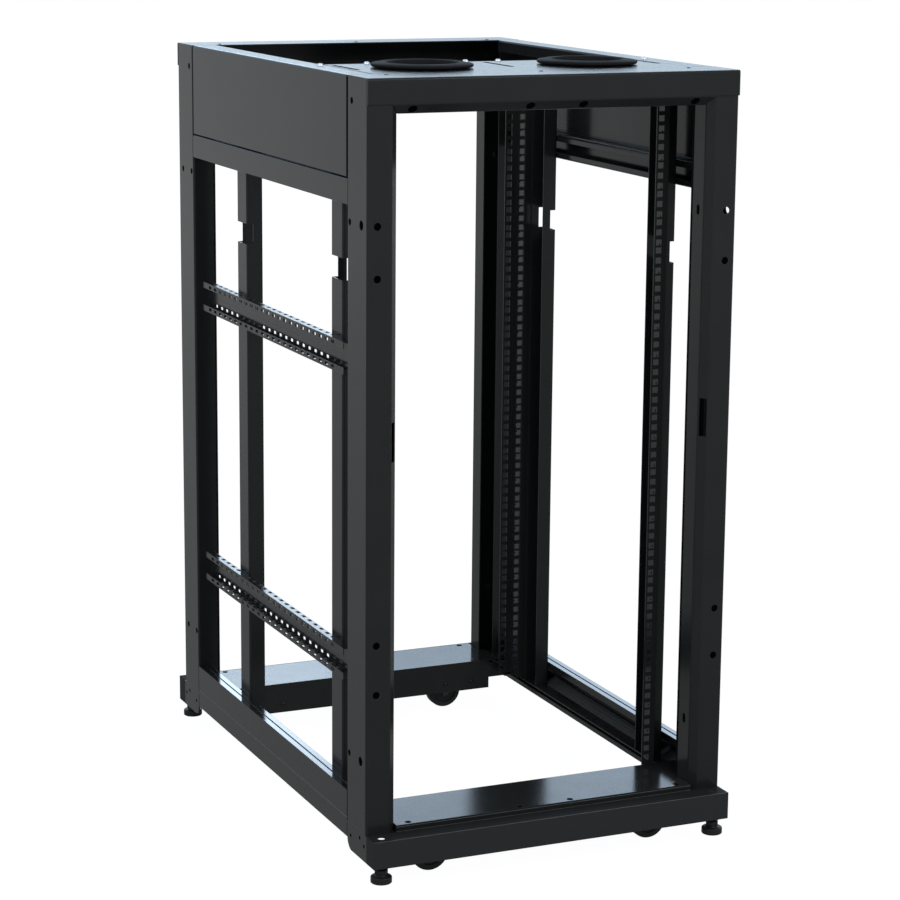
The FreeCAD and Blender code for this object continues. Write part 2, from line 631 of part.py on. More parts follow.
def caster_wheel(x, y, way):
    """Wheel with a bevelled tread and its axle bore."""
    wheel_x = x + way * CASTER_TRAIL
    half = WHEEL_WIDTH / 2
    radius = WHEEL_DIAMETER / 2
    bore = AXLE / 2 + AXLE_CLEARANCE
    shoulder = radius - WHEEL_BEVEL
    points = [(bore, -half), (shoulder, -half), (radius, -half + WHEEL_BEVEL), (radius, half - WHEEL_BEVEL),
              (shoulder, half), (bore, half)]
    face = Part.Face(outline(points, [0.0] * len(points), lambda u, v: Vector(wheel_x + u, y + v, WHEEL_Z)))
    return face.revolve(Vector(wheel_x, y, WHEEL_Z), Vector(0, 1, 0), 360)


def both_sides(name, shape, row=""):
    return {row + "left_" + name: shape, row + "right_" + name: mirror_x(shape)}


def front_and_rear(name, shape):
    return {"front_" + name: shape, "rear_" + name: mirror_y(shape)}


def four_corners(name, front, rear):
    """A front left piece and the one that faces it at the rear, at all corners of the frame."""
    return {**both_sides(name, front, "front_"), **both_sides(name, mirror_y(rear), "rear_")}


nodes = {}
nodes.update(four_corners("post", front_left_post(True), front_left_post(False)))
nodes.update(front_and_rear("top_beam", front_top_beam()))
nodes.update(both_sides("top_panel", left_top_panel()))
nodes.update(both_sides("upper_rail", left_upper_rail()))
nodes.update(both_sides("lower_rail", left_lower_rail()))
nodes.update(both_sides("skirt", left_skirt()))
nodes.update(front_and_rear("base_beam", front_base_beam()))
front_seat = FRONT + FRONT_UPRIGHT
rear_seat = -FRONT - REAR_UPRIGHT
for row, upright, rail in (("front", left_upright(front_seat), left_rack_rail(front_seat, -1)),
                           ("rear", left_upright(rear_seat - UPRIGHT_WEB), left_rack_rail(rear_seat, 1))):
    nodes.update(both_sides("upright", upright, row + "_"))
    nodes.update(both_sides("rack_rail", rail, row + "_"))
for name, top in zip(("upper", "lower"), BRACE_TOPS):
    nodes[name + "_left_brace"] = left_brace(top)
nodes["top_plate"] = top_plate()
nodes["left_grommet"] = grommet(-CABLE_HOLE_X)
nodes["right_grommet"] = grommet(CABLE_HOLE_X)
nodes.update(four_corners("foot", front_left_foot(), front_left_foot()))
plates = []
for row, way in (("front", -1), ("rear", 1)):
    for side, hand in (("left", -1), ("right", 1)):
        x = hand * CASTER_X
        y = way * (-FRONT - CASTER_IN)
        plates.append(caster_plate(x, y))
        nodes[row + "_" + side + "_caster_fork"] = caster_fork(x, y, -way)
        nodes[row + "_" + side + "_caster_wheel"] = caster_wheel(x, y, -way)
nodes["caster_plates"] = Part.makeCompound(plates)

os.makedirs("parts", exist_ok=True)
for name, shape in nodes.items():
    shape.exportStep("parts/" + name + ".step")
    span = shape.BoundBox
    corners = (span.XMin, span.XMax, span.YMin, span.YMax, span.ZMin, span.ZMax)
    print(name, len(shape.Solids), "solids", round(shape.Volume / 1000, 1), "cm3", shape.isValid(),
          [round(value, 1) for value in corners])
print(len(nodes), "nodes,", UNIT_COUNT, "rack units")
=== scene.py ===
# %% [markdown]
# # An open equipment rack in black powder coat
# The rack is folded sheet steel on two base beams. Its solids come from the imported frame, where each
# piece already has its true size. This lesson gives them their finish, swaps a few plain solids for
# finer meshes, adds the small hardware and lights it all as on a photographer's white table.
# We load the frame first and keep its size, so that we can see at the end that nothing grew.

# %% Load the frame
import math

import bmesh
import bpy
from mathutils import Matrix, Vector


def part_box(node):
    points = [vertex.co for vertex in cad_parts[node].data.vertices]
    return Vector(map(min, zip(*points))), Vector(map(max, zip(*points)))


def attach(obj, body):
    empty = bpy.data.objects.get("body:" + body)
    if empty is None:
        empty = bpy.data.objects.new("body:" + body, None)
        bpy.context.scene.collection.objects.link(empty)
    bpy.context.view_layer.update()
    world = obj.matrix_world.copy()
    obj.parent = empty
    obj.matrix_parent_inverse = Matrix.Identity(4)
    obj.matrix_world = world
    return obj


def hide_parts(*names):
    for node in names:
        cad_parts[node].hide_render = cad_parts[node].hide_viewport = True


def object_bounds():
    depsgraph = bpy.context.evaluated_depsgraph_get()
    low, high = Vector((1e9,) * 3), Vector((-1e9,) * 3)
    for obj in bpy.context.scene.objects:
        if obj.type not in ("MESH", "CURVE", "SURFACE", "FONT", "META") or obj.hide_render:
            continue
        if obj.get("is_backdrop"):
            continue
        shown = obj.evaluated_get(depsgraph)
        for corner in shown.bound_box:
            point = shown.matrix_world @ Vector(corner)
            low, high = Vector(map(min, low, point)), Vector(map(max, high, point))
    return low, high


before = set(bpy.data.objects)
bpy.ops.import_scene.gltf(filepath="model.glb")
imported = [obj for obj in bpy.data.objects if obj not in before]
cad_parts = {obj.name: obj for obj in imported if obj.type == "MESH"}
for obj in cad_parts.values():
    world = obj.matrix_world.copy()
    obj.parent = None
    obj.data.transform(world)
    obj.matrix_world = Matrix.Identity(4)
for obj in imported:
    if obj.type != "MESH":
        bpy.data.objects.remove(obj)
cad_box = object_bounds()
MM = 0.001
scene = bpy.context.scene
print("frame with", len(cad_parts), "nodes, box", [[round(v, 4) for v in c] for c in cad_box])

# %% [markdown]
# Many sizes below are read from the frame's own boxes and not typed in again. If the rack becomes wider,
# the rings, wheels, feet, braces and strips follow it. Only the screws and small holes have fixed places
# across it. We name the faces that we need more than once.

# %% Faces of the frame that later cells measure from
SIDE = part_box("front_right_post")[1][0]
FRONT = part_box("front_top_beam")[0][1]
POST_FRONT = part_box("front_left_post")[0][1]
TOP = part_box("front_top_beam")[1][2]
BASE_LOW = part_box("front_base_beam")[0][2]
BASE_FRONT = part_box("front_base_beam")[0][1]
DECK_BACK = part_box("front_base_beam")[1][1]
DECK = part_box("front_base_beam")[1][2]
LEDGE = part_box("front_left_post")[0][2]
SIDES = {"left": -1, "right": 1}
ENDS = {"front": -1, "rear": 1}
CORNERS = {"front_left": (-1, -1), "front_right": (1, -1), "rear_left": (-1, 1), "rear_right": (1, 1)}
print("half width", round(SIDE, 4), "front", round(FRONT, 4), "top", round(TOP, 4))

# %% [markdown]
# ## The camera
# The picture was taken from the left and a little above, with a long lens, so that the far posts look
# almost as tall as the near ones. A camera could be aimed by hand, but then each line would be a little
# off. Here the turn, tilt and roll were measured from the rack's own straight edges, and the camera's
# axes are written out from those three angles.

# %% Camera
CAMERA_TURN = math.radians(23.765)
CAMERA_TILT = math.radians(12.018)
CAMERA_ROLL = math.radians(0.504)
CAMERA_PLACE = Vector((-1.75518, -4.03422, 1.51343))
LENS = 107.83
SENSOR = 36


def camera_axes(turn, tilt, roll):
    """Right, up and backward directions of a camera with these angles."""
    right = Vector((math.cos(turn), -math.sin(turn), 0))
    ahead = Vector((math.sin(turn) * math.cos(tilt), math.cos(turn) * math.cos(tilt), -math.sin(tilt)))
    up = right.cross(ahead)
    return right * math.cos(roll) + up * math.sin(roll), up * math.cos(roll) - right * math.sin(roll), -ahead


camera_data = bpy.data.cameras.new("camera")
camera_data.lens = LENS
camera_data.sensor_width = SENSOR
camera_data.sensor_fit = "HORIZONTAL"
camera = bpy.data.objects.new("camera", camera_data)
scene.collection.objects.link(camera)
axes = Matrix(camera_axes(CAMERA_TURN, CAMERA_TILT, CAMERA_ROLL)).transposed()
camera.matrix_world = Matrix.Translation(CAMERA_PLACE) @ axes.to_4x4()
scene.camera = camera
print("camera at", [round(v, 3) for v in CAMERA_PLACE])

# %% [markdown]
# ## Studio light
# Black paint shows its form only by what it mirrors. One large soft light stands on the left and gives
# the side faces their grey, another fills the front, and a wide one far behind and high up lays a cool
# sheen on everything that lies flat. A small one before it adds to the sheen at the rear left corner.
# One could light the rack with the white surroundings alone, but then all faces would be equally grey.
# So the world and the floor are white to the camera, the floor is dimmer to mirror rays near the rack
# than far off, and to the rays that light the rack the world is only softly grey, so the paint is not
# washed out.

# %% World, lamps and floor
WORLD_FILL = 0.30
COOL = (0.70, 0.84, 0.97)
FLOOR_HALF = 30.0
FLOOR_SEEN = 1.15
FLOOR_NEAR = 0.44
FLOOR_FAR = 0.86
FLOOR_FADE = 0.6, 7.0
FLOOR_GLOW = 0.85
PAPER = (0.8, 0.8, 0.8)
WARM = (1.0, 0.965, 0.92)
SOFT_WARM = (1.0, 0.985, 0.955)
BLUE = (0.62, 0.79, 1.0)
SOFT_BLUE = (0.74, 0.88, 1.0)


def light_path_mask(tree):
    """1 for camera, glossy and transmission rays, 0 for the rays that light the object."""
    path = tree.nodes.new("ShaderNodeLightPath")
    first = tree.nodes.new("ShaderNodeMath")
    first.operation = "MAXIMUM"
    tree.links.new(path.outputs["Is Camera Ray"], first.inputs[0])
    tree.links.new(path.outputs["Is Glossy Ray"], first.inputs[1])
    second = tree.nodes.new("ShaderNodeMath")
    second.operation = "MAXIMUM"
    tree.links.new(first.outputs[0], second.inputs[0])
    tree.links.new(path.outputs["Is Transmission Ray"], second.inputs[1])
    return second.outputs[0]


def make_world():
    world = bpy.data.worlds.new("studio")
    scene.world = world
    world.use_nodes = True
    tree = world.node_tree
    back = tree.nodes["Background"]
    tint = tree.nodes.new("ShaderNodeMix")
    tint.data_type = "RGBA"
    tint.inputs[6].default_value = (*COOL, 1)
    tint.inputs[7].default_value = (1, 1, 1, 1)
    tree.links.new(tree.nodes.new("ShaderNodeLightPath").outputs["Is Camera Ray"], tint.inputs[0])
    tree.links.new(tint.outputs[2], back.inputs["Color"])
    strength = tree.nodes.new("ShaderNodeMapRange")
    strength.inputs["To Min"].default_value = WORLD_FILL
    strength.inputs["To Max"].default_value = 1.0
    tree.links.new(light_path_mask(tree), strength.inputs["Value"])
    tree.links.new(strength.outputs[0], back.inputs["Strength"])


def softbox(name, place, target, size, power, colour):
    """A rectangular lamp that looks at a point."""
    lamp = bpy.data.lights.new(name, "AREA")
    lamp.shape = "RECTANGLE"
    lamp.size, lamp.size_y = size
    lamp.energy = power
    lamp.color = colour
    obj = bpy.data.objects.new(name, lamp)
    obj.location = place
    obj.rotation_euler = (Vector(target) - Vector(place)).to_track_quat("-Z", "Y").to_euler()
    obj.visible_camera = False
    scene.collection.objects.link(obj)


def make_floor():
    mesh = bpy.data.meshes.new("floor")
    corners = [(x * FLOOR_HALF, y * FLOOR_HALF, 0) for x, y in ((-1, -1), (1, -1), (1, 1), (-1, 1))]
    mesh.from_pydata(corners, [], [(0, 1, 2, 3)])
    floor = bpy.data.objects.new("floor", mesh)
    scene.collection.objects.link(floor)
    mat = bpy.data.materials.new("white_table")
    mat.use_nodes = True
    tree = mat.node_tree
    tree.nodes.remove(tree.nodes["Principled BSDF"])
    paper = tree.nodes.new("ShaderNodeBsdfDiffuse")
    paper.inputs["Color"].default_value = (*PAPER, 1)
    glow = tree.nodes.new("ShaderNodeEmission")
    far = tree.nodes.new("ShaderNodeVectorMath")
    far.operation = "LENGTH"
    tree.links.new(tree.nodes.new("ShaderNodeTexCoord").outputs["Object"], far.inputs[0])
    mirrored = tree.nodes.new("ShaderNodeMapRange")
    limits = {"From Min": FLOOR_FADE[0], "From Max": FLOOR_FADE[1], "To Min": FLOOR_NEAR, "To Max": FLOOR_FAR}
    for label, value in limits.items():
        mirrored.inputs[label].default_value = value
    tree.links.new(far.outputs["Value"], mirrored.inputs["Value"])
    seen = tree.nodes.new("ShaderNodeMix")
    seen.inputs["B"].default_value = FLOOR_SEEN
    tree.links.new(tree.nodes.new("ShaderNodeLightPath").outputs["Is Camera Ray"], seen.inputs["Factor"])
    tree.links.new(mirrored.outputs[0], seen.inputs["A"])
    tree.links.new(seen.outputs["Result"], glow.inputs["Strength"])
    blend = tree.nodes.new("ShaderNodeMixShader")
    share = tree.nodes.new("ShaderNodeMath")
    share.operation = "MULTIPLY"
    share.inputs[1].default_value = FLOOR_GLOW
    tree.links.new(light_path_mask(tree), share.inputs[0])
    tree.links.new(share.outputs[0], blend.inputs[0])
    tree.links.new(paper.outputs[0], blend.inputs[1])
    tree.links.new(glow.outputs[0], blend.inputs[2])
    tree.links.new(blend.outputs[0], tree.nodes["Material Output"].inputs["Surface"])
    mesh.materials.append(mat)
    floor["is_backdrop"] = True


make_world()
middle = (0, 0, 0.65)
softbox("left_softbox", (-2.6, -0.9, 2.5), (0, -0.1, 0.9), (1.8, 1.8), 14.5, SOFT_WARM)
softbox("front_fill", (0.8, -4.0, 3.0), (0, 0, 0.3), (2.5, 1.4), 53, WARM)
softbox("rear_sheen", (4.0, 9.0, 3.48), middle, (7.0, 1.65), 88, BLUE)
softbox("rear_left_sheen", (2.65, 8.9, 2.95), middle, (1.3, 0.75), 10, SOFT_BLUE)
make_floor()
scene.view_settings.view_transform = "Standard"
print("four softboxes and a white floor")

# %% [markdown]
# ## Powder coat
# The frame's black is a baked powder coat: a fine orange-peel texture, a soft gloss, and a hint of grey
# on the edges, where paint rubs off, which is also a painted edge highlight. A plain black would look like
# a hole, so the colour drifts a little, the gloss varies with handling, and the bump is as fine as on the
# real thing, with small glints in the same grain. The Bevel node rounds the sheet's sharp edges for the
# light, and where it turns the normal we know that there is an edge to grey. The base beams reach out in
# front of the posts where things rub on them, so their coat turns rough beyond that line. There the
# upright faces are also lighter, which is painted light.

# %% Powder coat and the other finishes
def add(tree, kind, **values):
    """A new node with some of its properties and inputs set by name."""
    node = tree.nodes.new(kind)
    for key, value in values.items():
        if hasattr(node, key):
            setattr(node, key, value)
        else:
            node.inputs[key.replace("_", " ")].default_value = value
    return node


def finish(name, colour, wear_and_highlight_colour, roughness, peel=900.0, bump=0.10, edge=0.7, wear_and_highlight=0.35, ior=1.25, metallic=0.0,
           sparkle=0.0, matt_beyond=None):
    """A fine-textured finish with drifting colour, uneven gloss, and grey edges that are both rub marks and a
    painted highlight.
    """
    mat = bpy.data.materials.new(name)
    mat.use_nodes = True
    tree = mat.node_tree
    link = tree.links.new
    shader = tree.nodes["Principled BSDF"]
    shader.inputs["IOR"].default_value = ior
    shader.inputs["Metallic"].default_value = metallic
    place = add(tree, "ShaderNodeTexCoord").outputs["Object"]
    drift = add(tree, "ShaderNodeTexNoise", Scale=7.0, Detail=5.0, Roughness=0.6)
    grain = add(tree, "ShaderNodeTexNoise", Scale=peel, Detail=2.0, Roughness=0.5)
    smudge = add(tree, "ShaderNodeTexNoise", Scale=23.0, Detail=4.0, Roughness=0.65)
    for noise in (drift, grain, smudge):
        link(place, noise.inputs["Vector"])
    tone = add(tree, "ShaderNodeMix", data_type="RGBA")
    tone.inputs[6].default_value = (*[c * 0.82 for c in colour], 1)
    tone.inputs[7].default_value = (*[c * 1.18 for c in colour], 1)
    link(drift.outputs["Fac"], tone.inputs[0])
    rounded = add(tree, "ShaderNodeBevel", samples=2, Radius=edge * MM)
    flat = add(tree, "ShaderNodeNewGeometry")
    same = add(tree, "ShaderNodeVectorMath", operation="DOT_PRODUCT")
    link(rounded.outputs[0], same.inputs[0])
    link(flat.outputs["Normal"], same.inputs[1])
    # rub marks and painted highlight: where the Bevel normal turns away from the face, the edge takes the
    # greyer colour
    rim = add(tree, "ShaderNodeMapRange", From_Min=0.98, From_Max=0.80, To_Min=0.0, To_Max=wear_and_highlight)
    link(same.outputs["Value"], rim.inputs["Value"])
    wear_and_highlight_mask = add(tree, "ShaderNodeMath", operation="MULTIPLY")
    link(rim.outputs[0], wear_and_highlight_mask.inputs[0])
    link(smudge.outputs["Fac"], wear_and_highlight_mask.inputs[1])
    colour_out = add(tree, "ShaderNodeMix", data_type="RGBA")
    link(wear_and_highlight_mask.outputs[0], colour_out.inputs[0])
    link(tone.outputs[2], colour_out.inputs[6])
    colour_out.inputs[7].default_value = (*wear_and_highlight_colour, 1)
    paint = colour_out.outputs[2]
    gloss = add(tree, "ShaderNodeMapRange", To_Min=0.8 * roughness, To_Max=1.2 * roughness)
    link(smudge.outputs["Fac"], gloss.inputs["Value"])
    shine = gloss.outputs[0]
    glint = add(tree, "ShaderNodeMapRange", From_Min=0.3, From_Max=0.7,
                To_Min=0.5 - sparkle, To_Max=0.5 + sparkle)
    link(grain.outputs["Fac"], glint.inputs["Value"])
    glints = glint.outputs[0]
    if matt_beyond:
        # the part of the piece that lies further out along Y is marred by handling: rough and without glints;
        # where it stands upright it is also lighter, which is painted light
        axes = add(tree, "ShaderNodeSeparateXYZ")
        out = add(tree, "ShaderNodeMath", operation="ABSOLUTE")
        scuffed_and_lit = add(tree, "ShaderNodeMapRange", From_Min=matt_beyond - MM, From_Max=matt_beyond + MM)
        link(place, axes.inputs[0])
        link(axes.outputs["Y"], out.inputs[0])
        link(out.outputs[0], scuffed_and_lit.inputs["Value"])
        facing = add(tree, "ShaderNodeSeparateXYZ")
        upright = add(tree, "ShaderNodeMapRange", From_Max=0.5, To_Min=1.0, To_Max=0.0)
        lit_uprights = add(tree, "ShaderNodeMath", operation="MULTIPLY")
        link(flat.outputs["Normal"], facing.inputs[0])
        link(facing.outputs["Z"], upright.inputs["Value"])
        link(upright.outputs[0], lit_uprights.inputs[0])
        link(scuffed_and_lit.outputs[0], lit_uprights.inputs[1])
        # painted light: the upright faces of that outer part get a lighter colour
        lighter = add(tree, "ShaderNodeMix", data_type="RGBA")
        lighter.inputs[7].default_value = (*[c * 1.7 for c in colour], 1)
        rougher = add(tree, "ShaderNodeMix", B=0.6)
        duller = add(tree, "ShaderNodeMix", B=0.15)
        for node, share, source, plain in ((lighter, lit_uprights, paint, 6), (rougher, scuffed_and_lit, shine, 2),
                                           (duller, scuffed_and_lit, glints, 2)):
            link(share.outputs[0], node.inputs[0])
            link(source, node.inputs[plain])
        paint, shine, glints = lighter.outputs[2], rougher.outputs[0], duller.outputs[0]
    link(paint, shader.inputs["Base Color"])
    link(shine, shader.inputs["Roughness"])
    link(glints, shader.inputs["Specular IOR Level"])
    relief = add(tree, "ShaderNodeBump", Strength=bump, Distance=0.2 * MM)
    link(grain.outputs["Fac"], relief.inputs["Height"])
    link(rounded.outputs[0], relief.inputs["Normal"])
    link(relief.outputs[0], shader.inputs["Normal"])
    return mat


# the second colour is the grey of the edges: rub marks and a painted highlight in one
COAT = (0.024, 0.025, 0.025), (0.15, 0.15, 0.15), 0.15
PEEL = {"peel": 420.0, "bump": 0.25, "edge": 1.2, "wear_and_highlight": 0.6, "sparkle": 0.14}
POWDER = finish("black_powder_coat", *COAT, **PEEL)
BASE_COAT = finish("base_powder_coat", *COAT, **PEEL, matt_beyond=-FRONT)
COVER_COAT = finish("cover_powder_coat", *COAT, **{**PEEL, "edge": 0.02, "wear_and_highlight": 0.0})
RAIL_COAT = finish("rail_powder_coat", (0.026, 0.026, 0.026), (0.09, 0.09, 0.09), 0.11, bump=0.04)
TRACK_COAT = finish("track_powder_coat", (0.02, 0.02, 0.02), (0.06, 0.06, 0.06), 0.12, ior=1.5)
# painted light: the black coat made lighter for the sloping strips, to stand for the light on them
LIT_STRIP_COAT = finish("painted_light_strip_coat", (0.085, 0.085, 0.082), (0.13, 0.13, 0.13), 0.5)
# painted highlight: light grey for the bright lines along the rail seams and the beam folds
HIGHLIGHT_COAT = finish("painted_edge_highlight", (0.2, 0.2, 0.2), (0.2, 0.2, 0.2), 0.5, wear_and_highlight=0.0)
RUBBER = finish("grommet_rubber", (0.012, 0.012, 0.0125), (0.03, 0.03, 0.03), 0.7, peel=400.0, bump=0.05,
                ior=1.2)
TYRE = finish("wheel_rubber", (0.055, 0.055, 0.055), (0.04, 0.04, 0.04), 0.6, peel=500.0, bump=0.15)
DARK_ZINC = finish("dark_zinc", (0.06, 0.06, 0.062), (0.2, 0.2, 0.2), 0.38, peel=300.0, bump=0.04,
                   metallic=0.8)
FOOT_BLACK = finish("foot_black", (0.022, 0.022, 0.023), (0.08, 0.08, 0.08), 0.4, peel=700.0)
BRIGHT_ZINC = finish("bright_zinc", (0.75, 0.77, 0.8), (0.5, 0.5, 0.5), 0.25, peel=300.0, bump=0.03,
                     metallic=1.0)
BLACK_SCREW = finish("blackened_screw", (0.03, 0.03, 0.031), (0.2, 0.2, 0.2), 0.32, peel=500.0, bump=0.05,
                     metallic=0.6)
# painted shade: near-black for the dark inside of holes and grooves
HOLE_SHADE = finish("painted_hole_shade", (0.002, 0.002, 0.002), (0.003, 0.003, 0.003), 0.9, peel=500.0, wear_and_highlight=0.0,
                   ior=1.0)
print("finishes:", [m.name for m in bpy.data.materials])

# %% [markdown]
# Each solid of the frame takes the finish of its kind, by the word at the end of its name.

# %% Dress the frame's own solids
FINISH_OF = {"rack_rail": RAIL_COAT, "base_beam": BASE_COAT, "grommet": RUBBER, "wheel": TYRE,
             "fork": DARK_ZINC, "plates": DARK_ZINC, "foot": FOOT_BLACK}


def dress(obj, mat):
    obj.data.materials.clear()
    obj.data.materials.append(mat)


for name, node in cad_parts.items():
    dress(node, next((mat for ending, mat in FINISH_OF.items() if name.endswith(ending)), POWDER))
print(len(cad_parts), "solids dressed")

# %% [markdown]
# ## Helpers for new pieces
# A turned piece is a profile spun round an axis. We write its rings directly, because a formula gives
# clean quads and closed seams, and then mark the sharp edges so that the rest shades smooth.

# %% Turned pieces
def keep(name, mesh, mat, body, slot_name, stands_for=()):
    """A finished mesh becomes a piece: dressed, riding on its body, in the place of some solids."""
    mesh.materials.clear()
    mesh.materials.append(mat)
    obj = bpy.data.objects.new(name, mesh)
    scene.collection.objects.link(obj)
    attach(obj, body)
    if stands_for:
        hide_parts(*stands_for)
    return obj


def turned_mesh(name, profile, centre, axis="Z", segments=64, closed=True, smooth=35):
    """Rings of (radius, along) points round an axis; a closed profile makes a ring, an open one has caps."""
    bm = bmesh.new()
    rings = []
    for radius, along in profile:
        ring = []
        for i in range(segments):
            angle = 2 * math.pi * i / segments
            across = radius * math.cos(angle), radius * math.sin(angle)
            point = (across[0], across[1], along) if axis == "Z" else (across[0], along, -across[1])
            ring.append(bm.verts.new(Vector(centre) + Vector(point)))
        rings.append(ring)
    pairs = list(zip(rings, rings[1:]))
    if closed:
        pairs.append((rings[-1], rings[0]))
    for low, high in pairs:
        for i in range(segments):
            k = (i + 1) % segments
            bm.faces.new((low[i], low[k], high[k], high[i]))
    if not closed:
        bm.faces.new(rings[0][::-1])
        bm.faces.new(rings[-1])
    bmesh.ops.recalc_face_normals(bm, faces=bm.faces)
    mesh = bpy.data.meshes.new(name)
    bm.to_mesh(mesh)
    bm.free()
    mesh.shade_smooth()
    mesh.set_sharp_from_angle(angle=math.radians(smooth))
    return mesh


def arc(centre, radius, start, end, steps):
    """Points of a round stretch in a profile, angles in degrees."""
    points = []
    for i in range(steps + 1):
        angle = math.radians(start + (end - start) * i / steps)
        points.append((centre[0] + radius * math.cos(angle), centre[1] + radius * math.sin(angle)))
    return points


print("helpers ready")

# %% [markdown]
# ## Rubber rings in the top
# Each cable hole is edged with a moulded rubber ring. Its top is a soft dome that runs down into the
# hole, and a thin shadow line shows where its rim lifts off the plate. The plain ring of the frame is
# swapped for a profile with those curves.

# %% Grommets
RING_WIDTH = 25.5 * MM
COLLAR = 13 * MM
NECK = 6.7 * MM
NECK_UNDER = 2.3 * MM
NECK_OVER = 0.3 * MM
TOE = 1.5 * MM
RIM_UNDERCUT = 7 * MM
RIM_LIFT = 1.5 * MM
BEAD = 2.6 * MM
CROWN_DROP = 0.4 * MM
SHOULDER = (9 * MM, 0.9 * MM), (14 * MM, 0)
ROLL = 7 * MM


def grommet(side):
    low, high = (Vector(c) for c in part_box(side + "_grommet"))
    centre = ((low.x + high.x) / 2, (low.y + high.y) / 2, 0)
    rim = (high.x - low.x) / 2
    bore = rim - RING_WIDTH
    rise = high.z - TOP
    crown = high.z - CROWN_DROP
    under, over, lifted = TOP - NECK_UNDER, TOP + NECK_OVER, TOP + RIM_LIFT
    profile = [(bore + TOE, low.z), (bore + COLLAR, low.z), (bore + COLLAR, under), (bore + NECK, under),
               (bore + NECK, over), (rim - RIM_UNDERCUT, over), (rim - RIM_UNDERCUT, lifted)]
    profile += arc((rim - BEAD, lifted + BEAD), BEAD, -90, 75, 8)
    profile += [(rim - inset, crown - drop) for inset, drop in SHOULDER]
    profile += arc((bore + ROLL, crown - ROLL), ROLL, 80, 180, 9)
    mesh = turned_mesh(side + "_cable_ring", profile, centre, segments=96, smooth=50)
    return keep(side + "_cable_ring", mesh, RUBBER, "frame", "grommet_rubber", (side + "_grommet",)), rise


for side in SIDES:
    ring, rise = grommet(side)
    print(ring.name, "rises", round(rise / MM, 1), "mm")

# %% [markdown]
# ## Casters and feet
# The wheels get a rounded tread and a dished hub. The feet get a turned pad, a hexagon nut and a real
# screw thread: a profile that climbs one pitch on each turn, so the last column of points joins the
# first one pitch higher.

# %% Caster wheels
AXLE_BORE = 4.1 * MM
TREAD_FILLET = 3.5 * MM
HUB = 9 * MM
TREAD = 9 * MM
DISH = 2.5 * MM
DISH_SLOPE = 1 * MM


def caster_wheel(corner):
    low, high = (Vector(c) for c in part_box(corner + "_caster_wheel"))
    centre = (low + high) / 2
    radius = (high.z - low.z) / 2
    half = (high.y - low.y) / 2
    well = radius - TREAD
    sunk = half - DISH
    side = [(AXLE_BORE, half), (HUB, half), (HUB + DISH_SLOPE, sunk), (well - DISH_SLOPE, sunk), (well, half)]
    side += arc((radius - TREAD_FILLET, half - TREAD_FILLET), TREAD_FILLET, 90, 0, 6)
    profile = side + [(r, -a) for r, a in side[::-1]]
    mesh = turned_mesh(corner + "_tyre", profile, centre, axis="Y", segments=56, smooth=40)
    keep(corner + "_tyre", mesh, TYRE, corner + "_wheel", "wheel_rubber", (corner + "_caster_wheel",))


for corner in CORNERS:
    caster_wheel(corner)
print("four wheels")

# %% Levelling feet
THREAD_PITCH = 1.75 * MM
THREAD_RADIUS = 6 * MM
THREAD_DEPTH = 1.0 * MM
THREAD_SUNK = 2 * MM
CORE_RADIUS = 5.0 * MM
PAD_HEIGHT = 10.5 * MM
PAD_CHAMFER = 1 * MM
PAD_ROUND = 2.2 * MM
PAD_NECK = (9.5 * MM, 0.6 * MM), (8.2 * MM, 2.6 * MM)
NUT_UP = 13 * MM
NUT_HEIGHT = 8 * MM
NUT_FLATS = 19 * MM
NUT_CHAMFER = 0.9 * MM


def thread_mesh(bm, centre, radius, depth, low, high, segments=20):
    """A screw thread: each column of points stands a little higher than the one before it."""
    steps = (radius - depth, radius - depth, radius, radius)
    rows = int((high - low) / THREAD_PITCH) * len(steps)
    grid = []
    for i in range(segments):
        angle = 2 * math.pi * i / segments
        column = []
        for j in range(rows + 1):
            z = low + THREAD_PITCH * (j / len(steps) + i / segments)
            r = steps[j % len(steps)]
            column.append(bm.verts.new((centre[0] + r * math.cos(angle), centre[1] + r * math.sin(angle), z)))
        grid.append(column)
    for i in range(segments):
        following = grid[(i + 1) % segments]
        shift = len(steps) if i == segments - 1 else 0
        for j in range(rows - shift):
            bm.faces.new((grid[i][j], following[j + shift], following[j + shift + 1], grid[i][j + 1]))


def ring_of(bm, centre, radius, z, count):
    """Points of a level ring about a centre."""
    points = []
    for i in range(count):
        angle = 2 * math.pi * i / count
        across = Vector((math.cos(angle), math.sin(angle), 0)) * radius
        points.append(bm.verts.new(across + Vector((centre[0], centre[1], z))))
    return points


def close_rings(bm, rings):
    """Walls between rings of the same count, with a cap at each end."""
    count = len(rings[0])
    for low, high in zip(rings, rings[1:]):
        for i in range(count):
            k = (i + 1) % count
            bm.faces.new((low[i], low[k], high[k], high[i]))
    bm.faces.new(rings[0][::-1])
    bm.faces.new(rings[-1])


